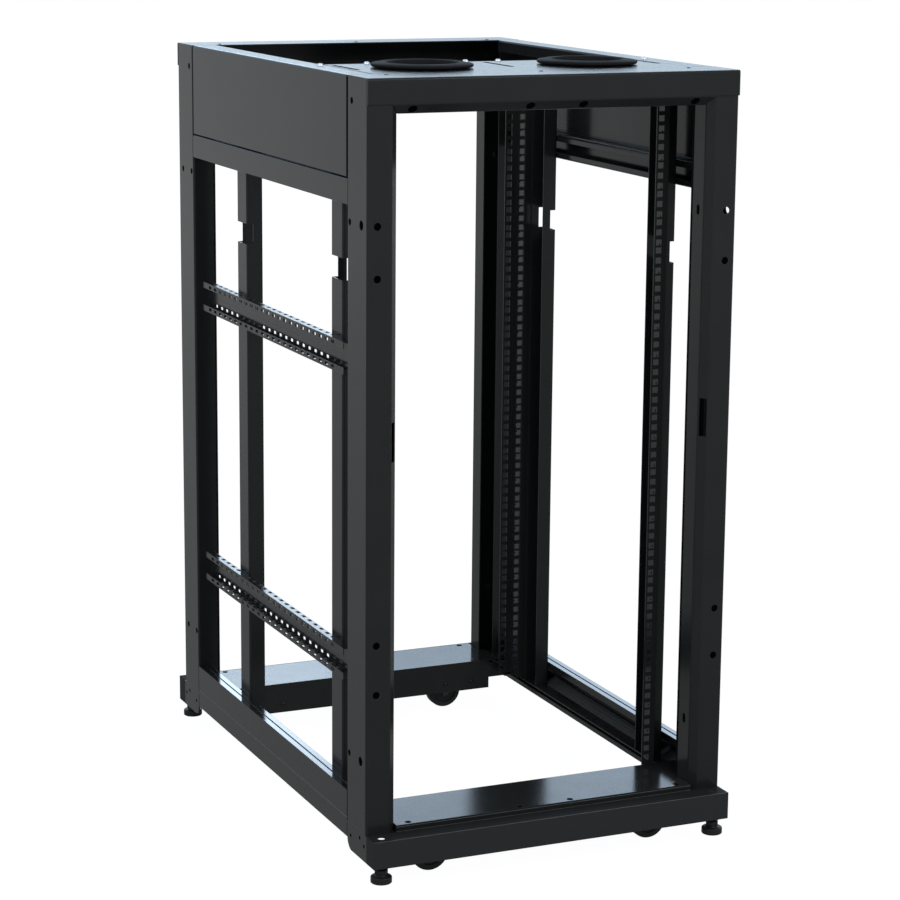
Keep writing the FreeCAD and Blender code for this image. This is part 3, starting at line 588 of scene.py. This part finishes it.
def levelling_foot(corner):
    low, high = (Vector(c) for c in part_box(corner + "_foot"))
    centre = (low + high) / 2
    pad = (high.x - low.x) / 2
    pad_top = low.z + PAD_HEIGHT
    profile = [(0.6 * pad, low.z), (pad - PAD_CHAMFER, low.z), (pad, low.z + PAD_CHAMFER)]
    profile += arc((pad - PAD_ROUND, pad_top - PAD_ROUND), PAD_ROUND, 0, 80, 5)
    profile += [(radius, pad_top + up) for radius, up in PAD_NECK]
    middle = centre.x, centre.y, 0
    mesh = turned_mesh(corner + "_pad", profile, middle, segments=48, closed=False, smooth=40)
    bm = bmesh.new()
    bm.from_mesh(mesh)
    nut_low = low.z + NUT_UP
    nut_high = nut_low + NUT_HEIGHT
    across = NUT_FLATS / math.sqrt(3)
    nut = [(across - NUT_CHAMFER, nut_low), (across, nut_low + NUT_CHAMFER), (across, nut_high - NUT_CHAMFER),
           (across - NUT_CHAMFER, nut_high)]
    close_rings(bm, [ring_of(bm, centre, radius, z, 6) for radius, z in nut])
    close_rings(bm, [ring_of(bm, centre, CORE_RADIUS, z, 20) for z in (nut_low, high.z)])
    thread_mesh(bm, centre, THREAD_RADIUS, THREAD_DEPTH, nut_high - THREAD_SUNK, high.z - THREAD_PITCH)
    bm.to_mesh(mesh)
    bm.free()
    keep(corner + "_levelling_foot", mesh, FOOT_BLACK, corner + "_foot", "foot_black", (corner + "_foot",))


for corner in CORNERS:
    levelling_foot(corner)
print("four feet")

# %% [markdown]
# ## Perforated braces
# The two braces on the left side are lipped channels punched all along: slots in the lips, two rows of
# oblong holes in the web and others in the flanges, a part of a step further on. Hole after hole could be
# cut with booleans, but one short length of channel repeated along a line is lighter and stays exact.
# Geometry Nodes lay the lengths on a line of points; the plain ends are modelled once and joined in. The
# sheet is drawn thin here, so that as much light comes through the holes as in the real one.

# %% One length of perforated channel
BRACE_PITCH = 26.25 * MM
BRACE_FRONT_MARGIN = 30 * MM
BRACE_REAR_MARGIN = 39.2 * MM
BRACE_LIP = 10.5 * MM
BRACE_SHEET = 1.2 * MM
STAGGER = 0.75 * BRACE_PITCH
# length and width of a hole, and how far its middle lies from the edge of its strip
FLANGE_HOLE = (12 * MM, 5.2 * MM), 8.8 * MM
LIP_SLOT = (12.5 * MM, 4.8 * MM), 4.8 * MM
WEB_HOLE = (11.4 * MM, 4.8 * MM), 10.6 * MM
CORNER_CUT = 0.3


def plain_strip(bm, low, high):
    """A straight bar between two corners."""
    outline = [(low[1], low[2]), (high[1], low[2]), (high[1], high[2]), (low[1], high[2])]
    close_rings(bm, [[bm.verts.new((x, y, z)) for y, z in outline] for x in (low[0], high[0])])


def punched_strip(bm, origin, across, out, height, hole, middle):
    """One pitch of sheet along Y, height wide along across, a sheet thick along out, with a cornered hole."""
    across, out, along = Vector(across), Vector(out), Vector((0, 1, 0))

    def points(outline):
        return [[bm.verts.new(Vector(origin) + along * u + across * v + out * w) for u, v in outline]
                for w in (0, BRACE_SHEET)]

    half = BRACE_PITCH / 2
    a, b = hole[0] / 2, hole[1] / 2
    cut = min(a, b) * CORNER_CUT
    bottom, top = middle - b, middle + b
    inner = points([(-a, bottom + cut), (-a + cut, bottom), (a - cut, bottom), (a, bottom + cut),
                    (a, top - cut), (a - cut, top), (-a + cut, top), (-a, top - cut)])
    outer = points([(-half, 0), (-a, 0), (a, 0), (half, 0), (half, height), (a, height), (-a, height),
                    (-half, height)])
    for i in range(8):
        k = (i + 1) % 8
        bm.faces.new((outer[0][i], outer[0][k], inner[0][k], inner[0][i]))
        bm.faces.new((outer[1][k], outer[1][i], inner[1][i], inner[1][k]))
        bm.faces.new((inner[0][i], inner[0][k], inner[1][k], inner[1][i]))
        if i not in (3, 7):
            bm.faces.new((outer[0][k], outer[0][i], outer[1][i], outer[1][k]))


def mesh_from(name, bm):
    bmesh.ops.recalc_face_normals(bm, faces=bm.faces)
    mesh = bpy.data.meshes.new(name)
    bm.to_mesh(mesh)
    bm.free()
    return mesh


def object_from(name, bm):
    obj = bpy.data.objects.new(name, mesh_from(name, bm))
    scene.collection.objects.link(obj)
    return obj


def punched_length(low, high, y):
    """Lips, flanges and web of the channel, one hole long, about y; its open side faces out to the left."""
    bm = bmesh.new()
    inward = (1, 0, 0)
    half = (high.z - low.z) / 2 - BRACE_SHEET
    for edge, way in ((low.z, 1), (high.z, -1)):
        on = (0, 0, way)
        start = edge + way * BRACE_SHEET
        flange = (low.x, y + STAGGER, edge), inward, on, high.x - low.x
        lip = (low.x, y, start), on, inward, BRACE_LIP - BRACE_SHEET
        web = (high.x - BRACE_SHEET, y, start), on, inward, half
        for strip, hole in ((flange, FLANGE_HOLE), (lip, LIP_SLOT), (web, WEB_HOLE)):
            punched_strip(bm, *strip, *hole)
    return object_from("brace_length", bm)


def plain_ends(low, high, start, end):
    """The stretches of the channel before and after its holes."""
    bm = bmesh.new()
    for y0, y1, flange0, flange1 in ((low.y, start, low.y, start + STAGGER),
                                     (end, high.y, end + STAGGER, high.y)):
        for z0, z1 in ((low.z, low.z + BRACE_SHEET), (high.z - BRACE_SHEET, high.z)):
            plain_strip(bm, (low.x, flange0, z0), (high.x, flange1, z1))
        for z0, z1 in ((low.z + BRACE_SHEET, low.z + BRACE_LIP), (high.z - BRACE_LIP, high.z - BRACE_SHEET)):
            plain_strip(bm, (low.x, y0, z0), (low.x + BRACE_SHEET, y1, z1))
        plain_strip(bm, (high.x - BRACE_SHEET, y0, low.z + BRACE_SHEET), (high.x, y1, high.z - BRACE_SHEET))
    return object_from("brace_ends", bm)


print("a lip is", round(BRACE_LIP / MM, 1), "mm high, with a slot every", round(BRACE_PITCH / MM, 2), "mm")

# %% Geometry Nodes: a row of lengths
def new_tree(name, sockets):
    """An empty geometry tree with named inputs and a geometry output."""
    tree = bpy.data.node_groups.new(name, "GeometryNodeTree")
    tree.interface.new_socket("Geometry", in_out="INPUT", socket_type="NodeSocketGeometry")
    for label, kind in sockets:
        tree.interface.new_socket(label, in_out="INPUT", socket_type=kind)
    tree.interface.new_socket("Geometry", in_out="OUTPUT", socket_type="NodeSocketGeometry")
    return tree, tree.nodes.new("NodeGroupInput"), tree.nodes.new("NodeGroupOutput")


def grow(base, tree, **values):
    """Runs a tree on an object and gives back the result as a plain mesh; the object is used up."""
    modifier = base.modifiers.new("grow", "NODES")
    modifier.node_group = tree
    for item in tree.interface.items_tree:
        if item.in_out == "INPUT" and item.name in values:
            modifier[item.identifier] = values[item.name]
    evaluated = base.evaluated_get(bpy.context.evaluated_depsgraph_get())
    mesh = bpy.data.meshes.new_from_object(evaluated)
    base.modifiers.remove(modifier)
    bpy.data.objects.remove(base)
    return mesh


def row_tree():
    """Copies of one object on a line of points, joined to the geometry that comes in."""
    sockets = [("Length", "NodeSocketObject"), ("Count", "NodeSocketInt"), ("Step", "NodeSocketVector"),
               ("Finish", "NodeSocketMaterial")]
    tree, given, result = new_tree("row_of_lengths", sockets)
    link = tree.links.new
    line = tree.nodes.new("GeometryNodeMeshLine")
    source = tree.nodes.new("GeometryNodeObjectInfo")
    copies = tree.nodes.new("GeometryNodeInstanceOnPoints")
    whole = tree.nodes.new("GeometryNodeJoinGeometry")
    real = tree.nodes.new("GeometryNodeRealizeInstances")
    weld = tree.nodes.new("GeometryNodeMergeByDistance")
    weld.inputs["Distance"].default_value = 0.01 * MM
    paint = tree.nodes.new("GeometryNodeSetMaterial")
    link(given.outputs["Count"], line.inputs["Count"])
    link(given.outputs["Step"], line.inputs["Offset"])
    link(given.outputs["Length"], source.inputs["Object"])
    link(line.outputs["Mesh"], copies.inputs["Points"])
    link(source.outputs["Geometry"], copies.inputs["Instance"])
    link(copies.outputs["Instances"], whole.inputs["Geometry"])
    link(given.outputs["Geometry"], whole.inputs["Geometry"])
    link(whole.outputs["Geometry"], real.inputs["Geometry"])
    link(real.outputs["Geometry"], weld.inputs["Geometry"])
    link(weld.outputs["Geometry"], paint.inputs["Geometry"])
    link(given.outputs["Finish"], paint.inputs["Material"])
    link(paint.outputs["Geometry"], result.inputs["Geometry"])
    return tree


ROW = row_tree()


def brace(level):
    node = level + "_left_brace"
    low, high = (Vector(c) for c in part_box(node))
    last = high.y - BRACE_REAR_MARGIN
    steps = int((last - low.y - BRACE_FRONT_MARGIN) // BRACE_PITCH)
    first = last - steps * BRACE_PITCH
    length = punched_length(low, high, first)
    ends = plain_ends(low, high, first - BRACE_PITCH / 2, last + BRACE_PITCH / 2)
    mesh = grow(ends, ROW, Length=length, Count=steps + 1, Step=(0, BRACE_PITCH, 0), Finish=POWDER)
    bpy.data.objects.remove(length)
    return keep(level + "_punched_brace", mesh, POWDER, "frame", "black_paint", (node,))


for level in ("upper", "lower"):
    piece = brace(level)
    print(piece.name, len(piece.data.polygons), "faces")

# %% [markdown]
# ## Strips along the side rails
# Two smooth strips on top of each lower rail mirror the light behind it, and a painted highlight, a thin
# light-grey bar, runs along the seam of rail and skirt. Through the front opening one also sees the rail's
# inner side. A sloping strip with two fine lines lies along its shelf, between the uprights, painted a
# lighter grey for the light that falls on it, and the skirt below ends in a narrow flange with a small lip.
# A bump texture could stand for all of this, but the lines of light would be lost, so each is a section
# that is drawn once and pulled along the rail.

# %% Ribbed strips and lipped skirts
SHEET = 2 * MM
STRIP_HEAD = 3.8 * MM
STRIP_FOOT = 23.8 * MM
STRIP_RISE = 10.2 * MM
LINE_SHARES = (0.36, 0.68)
LINE_HALF = 0.03
LINE_DEPTH = 0.9 * MM
SKIRT_FLANGE = 23 * MM
SKIRT_LIP = 8 * MM
TRACKS = (0.5 * MM, 9.4 * MM), (12.4 * MM, 21.3 * MM)
TRACK_RISE = 0.15 * MM
EDGE_HEIGHT = 0.8 * MM
EDGE_OUT = 0.1 * MM
EDGE_IN = 1 * MM


def pulled(bm, hand, section, y0, y1):
    """A closed section pulled along Y; its points are (distance in from the rack's side, height)."""
    close_rings(bm, [[bm.verts.new((hand * (SIDE - d), y, z)) for d, z in section] for y in (y0, y1)])


def bar_section(d0, d1, z0, z1):
    return [(d0, z0), (d1, z0), (d1, z1), (d0, z1)]


def ribbed_section(shelf):
    """A slope on the shelf with two fine lines cut along it."""
    section = [(STRIP_HEAD, shelf), (STRIP_HEAD, shelf + STRIP_RISE)]
    for share in LINE_SHARES:
        for step, cut in ((-LINE_HALF, 0), (0, LINE_DEPTH), (LINE_HALF, 0)):
            along = share + step
            d = STRIP_HEAD + (STRIP_FOOT - STRIP_HEAD) * along
            section.append((d, shelf + STRIP_RISE * (1 - along) - cut))
    return section + [(STRIP_FOOT, shelf)]


strips, tracks, edges = bmesh.new(), bmesh.new(), bmesh.new()
for side, hand in SIDES.items():
    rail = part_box(side + "_lower_rail")
    shelf = rail[0][2] + SHEET
    for d0, d1 in TRACKS:
        pulled(tracks, hand, bar_section(d0, d1, rail[1][2], rail[1][2] + TRACK_RISE), rail[0][1], rail[1][1])
    # painted highlight: a thin light bar along the seam of rail and skirt
    seam = rail[0][2] - EDGE_HEIGHT, rail[0][2] + EDGE_HEIGHT
    pulled(edges, hand, bar_section(-EDGE_OUT, EDGE_IN, *seam), rail[0][1], rail[1][1])
    marks = [rail[0][1]]
    for row in ENDS:
        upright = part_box(row + "_" + side + "_upright")
        marks += [upright[0][1], upright[1][1]]
    marks.append(rail[1][1])
    for y0, y1 in zip(marks[::2], marks[1::2]):
        pulled(strips, hand, ribbed_section(shelf), y0, y1)
    low, high = (Vector(c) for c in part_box(side + "_skirt"))
    skirt_bars = bmesh.new()
    for d0, d1, z0, z1 in ((0, SHEET, low.z, high.z), (SHEET, SKIRT_FLANGE, low.z, low.z + SHEET),
                           (SKIRT_FLANGE - SHEET, SKIRT_FLANGE, low.z + SHEET, low.z + SKIRT_LIP)):
        pulled(skirt_bars, hand, bar_section(d0, d1, z0, z1), low.y, high.y)
    name = side + "_lipped_skirt"
    keep(name, mesh_from(name, skirt_bars), POWDER, "frame", "black_paint", (side + "_skirt",))
    print(name, "and strips along", [round(y / MM) for y in marks])
# painted light: the ribbed strips take a lighter grey for the light on them, and the seam bars are painted
# highlights
for name, bars, mat in (("ribbed_strips", strips, LIT_STRIP_COAT), ("track_strips", tracks, TRACK_COAT),
                        ("seam_edges", edges, HIGHLIGHT_COAT)):
    keep(name, mesh_from(name, bars), mat, "frame", "black_paint")

# %% [markdown]
# The upper rails run on into the front posts with no line, as if that joint were welded and ground. One
# could join the sheets themselves, but the frame's solids stay as they are, so we fill the seam with a
# plate that is as thin as paint.

# %% Filled seams of the upper rails
COVER_HALF = 1.2 * MM
COVER_OUT = 0.05 * MM

covers = bmesh.new()
for side, hand in SIDES.items():
    low, high = (Vector(c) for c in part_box(side + "_upper_rail"))
    section = bar_section(-COVER_OUT, SHEET / 2, low.z, high.z)
    pulled(covers, hand, section, low.y - COVER_HALF, low.y + COVER_HALF)
keep("seam_covers", mesh_from("seam_covers", covers), COVER_COAT, "frame", "black_paint")
print("two seams filled")

# %% [markdown]
# The folds of the base beams catch the light in fine bright lines at the deck's edge, at the foot of the
# step below it and at the ledge. These are painted highlights. They could come from the grey edges of the
# coat, but that also finds every hole, so each line is a thin light-grey bar.

# %% Painted highlights on the folds of the base beams
OPENING = -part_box("front_left_post")[1][0]
FOLD_DOWN = 2.6 * MM

folds = bmesh.new()
step = -POST_FRONT + EDGE_OUT
for end in ENDS.values():
    for half, face, depth, z0, z1 in (
            (OPENING, step, EDGE_IN, DECK - FOLD_DOWN - EDGE_HEIGHT, DECK - FOLD_DOWN),
            (OPENING, step, EDGE_IN, LEDGE, LEDGE + EDGE_HEIGHT / 2),
            (SIDE, -BASE_FRONT, EDGE_HEIGHT, LEDGE, LEDGE + EDGE_HEIGHT / 2)):
        y0, y1 = sorted((end * face, end * (face - depth)))
        plain_strip(folds, (-half, y0, z0), (half, y1, z1))
keep("beam_folds", mesh_from("beam_folds", folds), HIGHLIGHT_COAT, "frame", "black_paint")
print("fold lines at heights", [round(z / MM, 1) for z in (DECK, LEDGE)])

# %% [markdown]
# ## Screws and small holes
# Button-head screws hold the top, the base and the rails. All screws of one body are one piece: we mark
# their places and directions as points with a facing, and Geometry Nodes set a screw on each. The small
# punched holes that are too fine for the solids are dark discs, laid on in the same way.

# %% Geometry Nodes: one thing on many points
def scatter_tree():
    """Copies of one object on points, each turned so that its Z looks along the point's facing."""
    sockets = [("Thing", "NodeSocketObject"), ("Finish", "NodeSocketMaterial")]
    tree, given, result = new_tree("set_on_points", sockets)
    link = tree.links.new
    source = tree.nodes.new("GeometryNodeObjectInfo")
    facing = tree.nodes.new("GeometryNodeInputNamedAttribute")
    facing.data_type = "FLOAT_VECTOR"
    facing.inputs["Name"].default_value = "facing"
    aim = tree.nodes.new("FunctionNodeAlignRotationToVector")
    aim.axis = "Z"
    copies = tree.nodes.new("GeometryNodeInstanceOnPoints")
    real = tree.nodes.new("GeometryNodeRealizeInstances")
    paint = tree.nodes.new("GeometryNodeSetMaterial")
    link(given.outputs["Thing"], source.inputs["Object"])
    link(facing.outputs["Attribute"], aim.inputs["Vector"])
    link(given.outputs["Geometry"], copies.inputs["Points"])
    link(source.outputs["Geometry"], copies.inputs["Instance"])
    link(aim.outputs["Rotation"], copies.inputs["Rotation"])
    link(copies.outputs["Instances"], real.inputs["Geometry"])
    link(real.outputs["Geometry"], paint.inputs["Geometry"])
    link(given.outputs["Finish"], paint.inputs["Material"])
    link(paint.outputs["Geometry"], result.inputs["Geometry"])
    return tree


SCATTER = scatter_tree()


def set_on_points(name, thing, places, mat, body, slot_name):
    """A piece made of one thing at each (point, facing) place."""
    mesh = bpy.data.meshes.new(name)
    mesh.from_pydata([point for point, _ in places], [], [])
    mesh.attributes.new("facing", "FLOAT_VECTOR", "POINT")
    for i, (_, way) in enumerate(places):
        mesh.attributes["facing"].data[i].vector = way
    base = bpy.data.objects.new(name, mesh)
    scene.collection.objects.link(base)
    result = grow(base, SCATTER, Thing=thing, Finish=mat)
    bpy.data.objects.remove(thing)
    return keep(name, result, mat, body, slot_name)


def thing_from(name, profile, segments, smooth=40):
    mesh = turned_mesh(name, profile, (0, 0, 0), segments=segments, closed=False, smooth=smooth)
    obj = bpy.data.objects.new(name, mesh)
    scene.collection.objects.link(obj)
    return obj


def button_head(name, across, high):
    """A domed screw head with a socket in it, standing on z = 0."""
    r = across / 2
    socket = 0.36 * r
    return thing_from(name, [(r, 0), (r, 0.25 * high), (0.86 * r, 0.66 * high), (0.62 * r, 0.92 * high),
                             (socket, high), (socket, 0.35 * high)], 14)


def hole_disc(name, across):
    r = across / 2
    return thing_from(name, [(r, 0), (r - 0.1 * MM, 0.12 * MM)], 16)


print("set_on_points ready")

# %% Screws on the frame
UP = (0, 0, 1)
FLUSH_ACROSS = (-250, 0, 250)
FLUSH_BACK = 64 * MM
DOMES = (277, 263), (194, 280), (28, 280)
SKIRT_ACROSS = (-210, -159, 159, 210)
SKIRT_UP = 15 * MM

flush = []
for x in FLUSH_ACROSS:
    for end in ENDS.values():
        flush.append(((x * MM, end * (-FRONT - FLUSH_BACK), TOP), UP))
domes = []
for x, back in DOMES:
    for hand in SIDES.values():
        domes.append(((hand * x * MM, FRONT + back * MM, TOP), UP))
skirt = []
for x in SKIRT_ACROSS:
    for end in ENDS.values():
        skirt.append(((x * MM, -end * DECK_BACK, BASE_LOW + SKIRT_UP), (0, -end, 0)))
for name, across, high, places, mat, slot_name in (
        ("flush_screws", 7 * MM, 0.8 * MM, flush, POWDER, "black_paint"),
        ("plate_domes", 9 * MM, 4 * MM, domes, BRIGHT_ZINC, "zinc_steel"),
        ("skirt_screws", 10 * MM, 3 * MM, skirt, BLACK_SCREW, "black_paint")):
    set_on_points(name, button_head(name + "_head", across, high), places, mat, "frame", slot_name)
print(len(flush), "flush screws,", len(domes), "domes and", len(skirt), "skirt screws")

# %% [markdown]
# Seen from outside, the round holes of the posts and decks are black, because little light gets in there.
# A dark cap just behind each of these holes gives that look from every side. The post on the right is
# left open at its upper hinge, where the real one shows the light behind it.

# %% Dark caps behind the holes
DARK = HOLE_SHADE, "frame", "black_paint"
BEHIND_SHEET = 2.2 * MM
HINGE_IN = 16.4 * MM
HINGE_DOWNS = (214, 291, 844.5, 921.5)
SIDE_DOWNS = (214, 1030)
SIDE_BACKS = (24.5, 70)
TOP_HOLE = (62.8, 36)
BOLT_ACROSS = (-232, -43.5, 43.5, 232)
DECK_HOLE_BACK = 10 * MM


def left_cap(y, down):
    """The place of a cap behind the left side of the rack."""
    return (-SIDE + BEHIND_SHEET, y, TOP - down * MM), (-1, 0, 0)


caps = []
small_caps = []
for hand in SIDES.values():
    for down in HINGE_DOWNS if hand < 0 else HINGE_DOWNS[1:]:
        caps.append(((hand * (SIDE - HINGE_IN), POST_FRONT + BEHIND_SHEET, TOP - down * MM), (0, -1, 0)))
for down in SIDE_DOWNS:
    caps.append(left_cap(FRONT + SIDE_BACKS[0] * MM, down))
    small_caps.append(left_cap(FRONT + SIDE_BACKS[1] * MM, down))
    for back in SIDE_BACKS:
        small_caps.append(left_cap(-FRONT - back * MM, down))
small_caps.append(left_cap(FRONT + TOP_HOLE[0] * MM, TOP_HOLE[1]))
for x in BOLT_ACROSS:
    for end in ENDS.values():
        small_caps.append(((x * MM, end * (-FRONT - DECK_HOLE_BACK), DECK - BEHIND_SHEET), UP))
set_on_points("hole_caps", hole_disc("cap", 17 * MM), caps, *DARK)
set_on_points("small_hole_caps", hole_disc("small_cap", 12.4 * MM), small_caps, *DARK)
print(len(caps), "caps and", len(small_caps), "small ones")

# %% [markdown]
# The slanted lips of the top beams, the base's end plates and the inner sides of the rack rails have holes
# as well, and the top plate has three pressed grooves. They could be cut, but at this size only their
# darkness shows, so these are thin dark discs and strips that lie on the sheet: painted shade.

# %% Small punched holes, grooves and dots
END_PLATE_HOLES = (63.9, 23.8), (27.1, 32.3), (9.4, 24.1)
LIP_BACK = 7.2 * MM
LIP_DOWN = 45.7 * MM
GROOVE_ACROSS = (-253 * MM, 0, 253 * MM)
GROOVE_HALF = 4 * MM
GROOVE_BACKS = (166 * MM, 270 * MM)
GROOVE_DEPTH = 0.9 * MM
GROOVE_OUT = 0.05 * MM
UNIT = 44.45 * MM
DOTS = 25
DOT_ACROSS = 245 * MM
DOT_UP = 5.7 * MM

holes = []
for hand, end in CORNERS.values():
    for back, up in END_PLATE_HOLES:
        holes.append(((hand * SIDE, end * (-FRONT - back * MM), BASE_LOW + up * MM), (hand, 0, 0)))
set_on_points("punched_holes", hole_disc("hole", 6 * MM), holes, *DARK)
lips = []
for x in BOLT_ACROSS:
    for end in ENDS.values():
        lips.append(((x * MM, end * (-FRONT - LIP_BACK), TOP - LIP_DOWN), (0, end, -1)))
set_on_points("lip_holes", hole_disc("lip_hole", 14.5 * MM), lips, *DARK)
grooves = bmesh.new()
for x in GROOVE_ACROSS:
    plain_strip(grooves, (x - GROOVE_HALF, FRONT + GROOVE_BACKS[0], TOP - GROOVE_DEPTH),
                (x + GROOVE_HALF, FRONT + GROOVE_BACKS[1], TOP + GROOVE_OUT))
keep("plate_grooves", mesh_from("plate_grooves", grooves), *DARK)
rail_dots = []
for row in ENDS:
    for side, hand in SIDES.items():
        low, high = (Vector(c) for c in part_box(row + "_" + side + "_rack_rail"))
        for i in range(DOTS):
            place = (hand * DOT_ACROSS, (low.y + high.y) / 2, low.z + DOT_UP + i * UNIT)
            rail_dots.append((place, (-hand, 0, 0)))
set_on_points("rail_dots", hole_disc("dot", 3.5 * MM), rail_dots, *DARK)
print(len(holes), "punched holes,", len(lips), "lip holes,", len(rail_dots), "rail dots")

# %% [markdown]
# ## Finish
# The last cell compares the finished model's box with the frame's.

# %% Measure and finish
visual_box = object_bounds()
growth = [round((v - c) / MM, 2) for cad, visual in zip(cad_box, visual_box) for c, v in zip(cad, visual)]
print("box grew by", growth, "mm")
